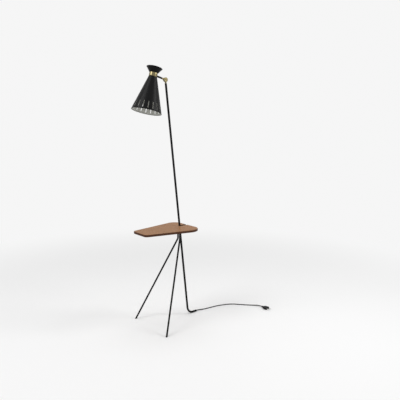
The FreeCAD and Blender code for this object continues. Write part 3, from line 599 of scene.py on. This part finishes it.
class LAMP_OT_flare(bpy.types.Operator):
    """Make the upper cone with its floor, rolled hem and black inside"""
    bl_idname = "lamp.flare"
    bl_label = "Upper cone"

    def execute(self, context):
        sizes, paint = context.scene.lamp_shade, finishes()
        low, wall, fold = sizes.ring / 2, sizes.sheet, sizes.fold
        high = low + sizes.rise
        across = wall * 1.25  # the slanting wall, measured level
        outside = [(sizes.neck + (sizes.flare - sizes.neck) * k / FLARE_ROWS,
                    low + sizes.rise * k / FLARE_ROWS) for k in range(1, FLARE_ROWS + 1)]
        profile = [(0.0, low), (sizes.neck - fold, low),
                   (sizes.neck - fold / 5, low + fold / 5),
                   (sizes.neck + fold * 0.55, low + fold * 0.8)]
        profile += outside
        profile += [(radius - across, height) for radius, height in reversed(outside)]
        profile += [(sizes.neck - wall, low + wall), (0.0, low + wall)]
        mesh = lathe(profile, in_shade(sizes), paint["satin_black"], closed=False)
        add_piece("flare", mesh, "head", ["shade_flare"], 30.0)
        centre = (sizes.flare - sizes.hem * 0.8, high - sizes.hem * 0.7)
        add_hem("flare_hem", centre, sizes, 128)
        return {"FINISHED"}


class LAMP_OT_ring(bpy.types.Operator):
    """Make the turned brass neck ring with its eased edges"""
    bl_idname = "lamp.ring"
    bl_label = "Neck ring"

    def execute(self, context):
        sizes, paint = context.scene.lamp_shade, finishes()
        half, ease = sizes.ring / 2, sizes.ring_ease
        inner = sizes.neck - sizes.ring_wall
        profile = [(inner, -half)]
        profile += arc((sizes.neck - ease, -half + ease), ease, -90, 0, 5)
        profile += arc((sizes.neck - ease, half - ease), ease, 0, 90, 5)
        profile += [(inner, half)]
        mesh = lathe(profile, in_shade(sizes), paint["polished_brass"])
        add_piece("brass_ring", mesh, "head", ["neck_ring"])
        return {"FINISHED"}


FINISH_OF = {
    "satin_black": ["pole", "leg_left", "leg_right", "arm_tube"],
    "casting": ["hub"],
    "moulded_black": ["foot_tip_left", "foot_tip_right", "cord_grommet", "lampholder_body"],
    "knuckle_brass": ["knuckle_base", "knuckle_arm"],
    "polished_brass": ["knuckle_screw", "knuckle_nut", "pole_top_bush", "neck_nut",
                       "lampholder_sleeve", "lampholder_contact"],
    "zinc_steel": ["wood_screws", "hub_grub_screws", "swivel_nut", "arm_nipple", "arm_locknut",
                   "neck_nipple", "bulb_cap"],
    "nylon": ["swivel_washer", "friction_washer", "swivel_wire", "head_wire"],
    "cord_rubber": ["pole_cable"],
    "opal": ["bulb_glass"],
    "oiled_teak": ["table_board"],
    "nickel_pin": ["plug_pins"],
}

# Edges that are eased on the real pieces, with each chamfer's width.
EASED = {"knuckle_base": 0.0005, "knuckle_arm": 0.0005, "hub": 0.0012, "knuckle_screw": 0.0003,
         "knuckle_nut": 0.0003, "wood_screws": 0.0003, "neck_nut": 0.0003}
EASED_FROM = radians(40)


class LAMP_OT_finish(bpy.types.Operator):
    """Give every frame piece its own finish, and ease the edges of the turned and cast ones"""
    bl_idname = "lamp.finish"
    bl_label = "Finishes"

    def execute(self, context):
        paint = finishes()
        for name, pieces in FINISH_OF.items():
            for piece in pieces:
                mesh = frame["nodes"][piece].data
                mesh.materials.clear()
                mesh.materials.append(paint[name])
        for piece, width in EASED.items():
            ease = frame["nodes"][piece].modifiers.new("eased_edges", "BEVEL")
            ease.width = width
            ease.segments = 2
            ease.limit_method = "ANGLE"
            ease.angle_limit = EASED_FROM
            ease.harden_normals = True
        return {"FINISHED"}


# The cord's points, measured from the pole's corner, as in the part's own source.
POLE_CORNER = 0.14599
CORD_ROUTE = [
    (0.0635, 0.0, 0.006), (0.084, 0.0, 0.006), (0.112, -0.009, 0.0028),
    (0.150, -0.016, 0.0028), (0.194, -0.022, 0.0028), (0.238, -0.033, 0.0028),
    (0.281, -0.050, 0.0028), (0.316, -0.072, 0.0028), (0.342, -0.106, 0.0028),
    (0.376, -0.146, 0.0028), (0.402, -0.174, 0.0034), (0.420, -0.203, 0.00685),
    (0.4215, -0.226, 0.00685),
]


class LAMP_OT_cord(bpy.types.Operator):
    """Lay the free cord on the floor, from the stub's end to the plug"""
    bl_idname = "lamp.cord"
    bl_label = "Cord"

    def execute(self, context):
        sizes, paint = context.scene.lamp_cord, finishes()
        route = [Vector((POLE_CORNER + x, y, z)) for x, y, z in CORD_ROUTE]
        curve = bpy.data.curves.new("free_cord", "CURVE")
        curve.dimensions = "3D"
        curve.bevel_depth = sizes.diameter / 2
        curve.bevel_resolution = 6
        curve.resolution_u = 16
        line = curve.splines.new("NURBS")
        line.points.add(len(route) - 1)
        for point, spot in zip(line.points, route):
            point.co = (*spot, 1.0)
        line.order_u = 3
        line.use_endpoint_u = True
        curve.materials.append(paint["cord_rubber"])
        cord = bpy.data.objects.new("free_cord", curve)
        context.scene.collection.objects.link(cord)
        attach(cord, "root")
        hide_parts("cord")
        return {"FINISHED"}


# Sections along the plug in mm: place, half width, half thickness and how square it is.
PLUG_SECTIONS = [
    (0.0, 3.6, 3.6, 0.0), (2.0, 4.2, 4.2, 0.0), (6.0, 4.8, 4.7, 0.0), (12.0, 5.6, 5.2, 0.2),
    (15.0, 8.6, 6.0, 0.5), (19.0, 12.2, 6.6, 0.7), (24.0, 15.2, 6.85, 0.85),
    (30.0, 17.1, 6.85, 0.9), (36.0, 17.5, 6.85, 0.9), (43.5, 17.5, 6.85, 0.9),
    (45.3, 17.0, 6.4, 0.9), (46.0, 15.8, 5.4, 0.9),
]
PLUG_STEPS = 48


class LAMP_OT_plug(bpy.types.Operator):
    """Make the flat plug with its tapered boot"""
    bl_idname = "lamp.plug"
    bl_label = "Plug"

    def execute(self, context):
        shape, rings = bmesh.new(), []
        for along, wide, thick, square in PLUG_SECTIONS:
            power = 1.0 / (1.0 + 1.6 * square)
            ring = []
            for k in range(PLUG_STEPS):
                y, z = [abs(v) ** power * (1 if v > 0 else -1)
                        for v in (cos(2 * pi * k / PLUG_STEPS), sin(2 * pi * k / PLUG_STEPS))]
                ring.append(shape.verts.new((along * MM, wide * MM * y, thick * MM * z)))
            rings.append(ring)
        for low, high in zip(rings, rings[1:]):
            for k in range(PLUG_STEPS):
                after = (k + 1) % PLUG_STEPS
                shape.faces.new([low[k], low[after], high[after], high[k]])
        shape.faces.new(rings[0])
        shape.faces.new(rings[-1])
        bmesh.ops.recalc_face_normals(shape, faces=shape.faces)
        mesh = as_mesh(shape, "plug_shell", finishes()["moulded_black"])

        end, before = Vector(CORD_ROUTE[-1]), Vector(CORD_ROUTE[-2])
        aim = (end - before).normalized()
        across = Vector((-aim.y, aim.x, 0.0))
        place = Matrix((aim, across, Vector((0, 0, 1)))).transposed().to_4x4()
        place.translation = end + Vector((POLE_CORNER, 0, 0))
        mesh.transform(place)
        add_piece("plug_shell", mesh, "root", ["plug_body"], 40.0)
        return {"FINISHED"}


# ------------------------------------------------------------ stage

# Each soft lamp's place, size, power in watts and the point that it looks at.
SHADE_MIDDLE = (-0.1, 0, 1.3)
SOFT_LAMPS = {
    "left_softbox": ((-2.0, 0.2, 2.95), (1.2, 1.6), 36.0, SHADE_MIDDLE),
    "right_softbox": ((1.64, -1.57, 2.5), (0.45, 1.6), 24.0, SHADE_MIDDLE),
    "front_strip": ((1.1, -2.3, 1.6), (0.3, 1.2), 7.0, SHADE_MIDDLE),
    "top_softbox": ((0.3, 0.3, 3.8), (2.0, 2.0), 20.0, (0, 0, 0)),
}
FLOOR_HALF = 30.0


class LAMP_OT_stage(bpy.types.Operator):
    """Set up the camera, the pale floor and the soft lights"""
    bl_idname = "lamp.stage"
    bl_label = "Stage"

    def execute(self, context):
        scene, sizes = context.scene, context.scene.lamp_stage
        scene.view_settings.view_transform = "Standard"
        lens = bpy.data.cameras.new("camera")
        lens.sensor_width = 36.0
        lens.lens = sizes.lens
        scene.camera = self.aimed("camera", lens, sizes.camera, Vector(sizes.heading))
        self.floor(scene, sizes)
        self.world(scene, sizes)
        for name, (spot, size, power, looks_at) in SOFT_LAMPS.items():
            lamp = bpy.data.lights.new(name, "AREA")
            lamp.shape = "RECTANGLE"
            lamp.size, lamp.size_y = size
            lamp.energy = power
            self.aimed(name, lamp, spot, Vector(looks_at) - Vector(spot))
        return {"FINISHED"}

    def aimed(self, name, made, spot, direction):
        """Put a new camera or lamp in the scene, looking along a direction."""
        thing = bpy.data.objects.new(name, made)
        thing.location = spot
        thing.rotation_euler = direction.to_track_quat("-Z", "Y").to_euler()
        bpy.context.scene.collection.objects.link(thing)
        return thing

    def floor(self, scene, sizes):
        """A wide pale floor that fades into the backdrop far from the lamp."""
        tree, shader = new_material("pale_floor")
        place = here(tree)
        tone = sizes.floor_tone
        mottle = blend_colours(tree, noise(tree, place, 2.0), (tone - 0.004,) * 3 + (1,),
                               (tone + 0.004,) * 3 + (1,))
        tree.links.new(mottle, shader.inputs["Base Color"])
        shader.inputs["Roughness"].default_value = 0.9
        shader.inputs["Specular IOR Level"].default_value = 0.1
        glow = node(tree, "ShaderNodeEmission",
                    inputs={"Color": (sizes.backdrop,) * 3 + (1,), "Strength": 1.0})
        distance = node(tree, "ShaderNodeVectorMath", operation="LENGTH",
                        inputs={0: place}).outputs["Value"]
        far = node(tree, "ShaderNodeMapRange", interpolation_type="SMOOTHSTEP",
                   inputs={"Value": distance, "From Min": sizes.fade_start,
                           "From Max": sizes.fade_end}).outputs[0]
        mixed = node(tree, "ShaderNodeMixShader",
                     inputs={0: far, 1: shader.outputs[0], 2: glow.outputs[0]})
        out = next(n for n in tree.nodes if n.type == "OUTPUT_MATERIAL")
        tree.links.new(mixed.outputs[0], out.inputs[0])

        mesh = bpy.data.meshes.new("floor")
        corners = [(-1, -1), (1, -1), (1, 1), (-1, 1)]
        mesh.from_pydata([(x * FLOOR_HALF, y * FLOOR_HALF, 0) for x, y in corners], [],
                         [(0, 1, 2, 3)])
        mesh.materials.append(bpy.data.materials["pale_floor"])
        floor = bpy.data.objects.new("floor", mesh)
        scene.collection.objects.link(floor)

    def world(self, scene, sizes):
        """An even, pale surround. What is seen or mirrored is the backdrop's own colour."""
        world = bpy.data.worlds.new("surround")
        scene.world = world
        world.use_nodes = True
        tree = world.node_tree
        tree.nodes.clear()
        rays = node(tree, "ShaderNodeLightPath").outputs
        mirrored = maths(tree, "MAXIMUM", rays["Is Glossy Ray"], rays["Is Transmission Ray"])
        seen = maths(tree, "MAXIMUM", rays["Is Camera Ray"], mirrored)
        seen_sky = node(tree, "ShaderNodeBackground",
                        inputs={"Color": (sizes.backdrop,) * 3 + (1,), "Strength": 1.0})
        soft_sky = node(tree, "ShaderNodeBackground",
                        inputs={"Color": (1.0, 1.0, 1.0, 1), "Strength": sizes.surround})
        mixed = node(tree, "ShaderNodeMixShader",
                     inputs={0: seen, 1: soft_sky.outputs[0], 2: seen_sky.outputs[0]})
        node(tree, "ShaderNodeOutputWorld", inputs={0: mixed.outputs[0]})


# ------------------------------------------------------------ add-on

OPERATORS = (LAMP_OT_stage, LAMP_OT_finish, LAMP_OT_plug, LAMP_OT_cord, LAMP_OT_cone,
             LAMP_OT_flare, LAMP_OT_ring)
GROUPS = {"lamp_shade": ShadeSizes, "lamp_board": BoardSizes, "lamp_cord": CordSizes,
          "lamp_finish": FinishColours, "lamp_stage": StageSizes}


class LAMP_PT_panel(bpy.types.Panel):
    """Buttons and sizes for every piece of the lamp"""
    bl_idname = "LAMP_PT_panel"
    bl_label = "Floor lamp"
    bl_space_type = "VIEW_3D"
    bl_region_type = "UI"
    bl_category = "Lamp"

    def draw(self, context):
        for operator in OPERATORS:
            self.layout.operator(operator.bl_idname)
        for group in GROUPS:
            box = self.layout.box()
            sizes = getattr(context.scene, group)
            for name in sizes.__annotations__:
                box.prop(sizes, name)


def register():
    for kind in (*GROUPS.values(), *OPERATORS, LAMP_PT_panel):
        bpy.utils.register_class(kind)
    for name, kind in GROUPS.items():
        setattr(bpy.types.Scene, name, PointerProperty(type=kind))


def unregister():
    for name in GROUPS:
        delattr(bpy.types.Scene, name)
    for kind in reversed((*GROUPS.values(), *OPERATORS, LAMP_PT_panel)):
        bpy.utils.unregister_class(kind)


def main():
    register()
    for operator in OPERATORS:
        group, name = operator.bl_idname.split(".")
        getattr(getattr(bpy.ops, group), name)()


if __name__ == "__main__":
    main()
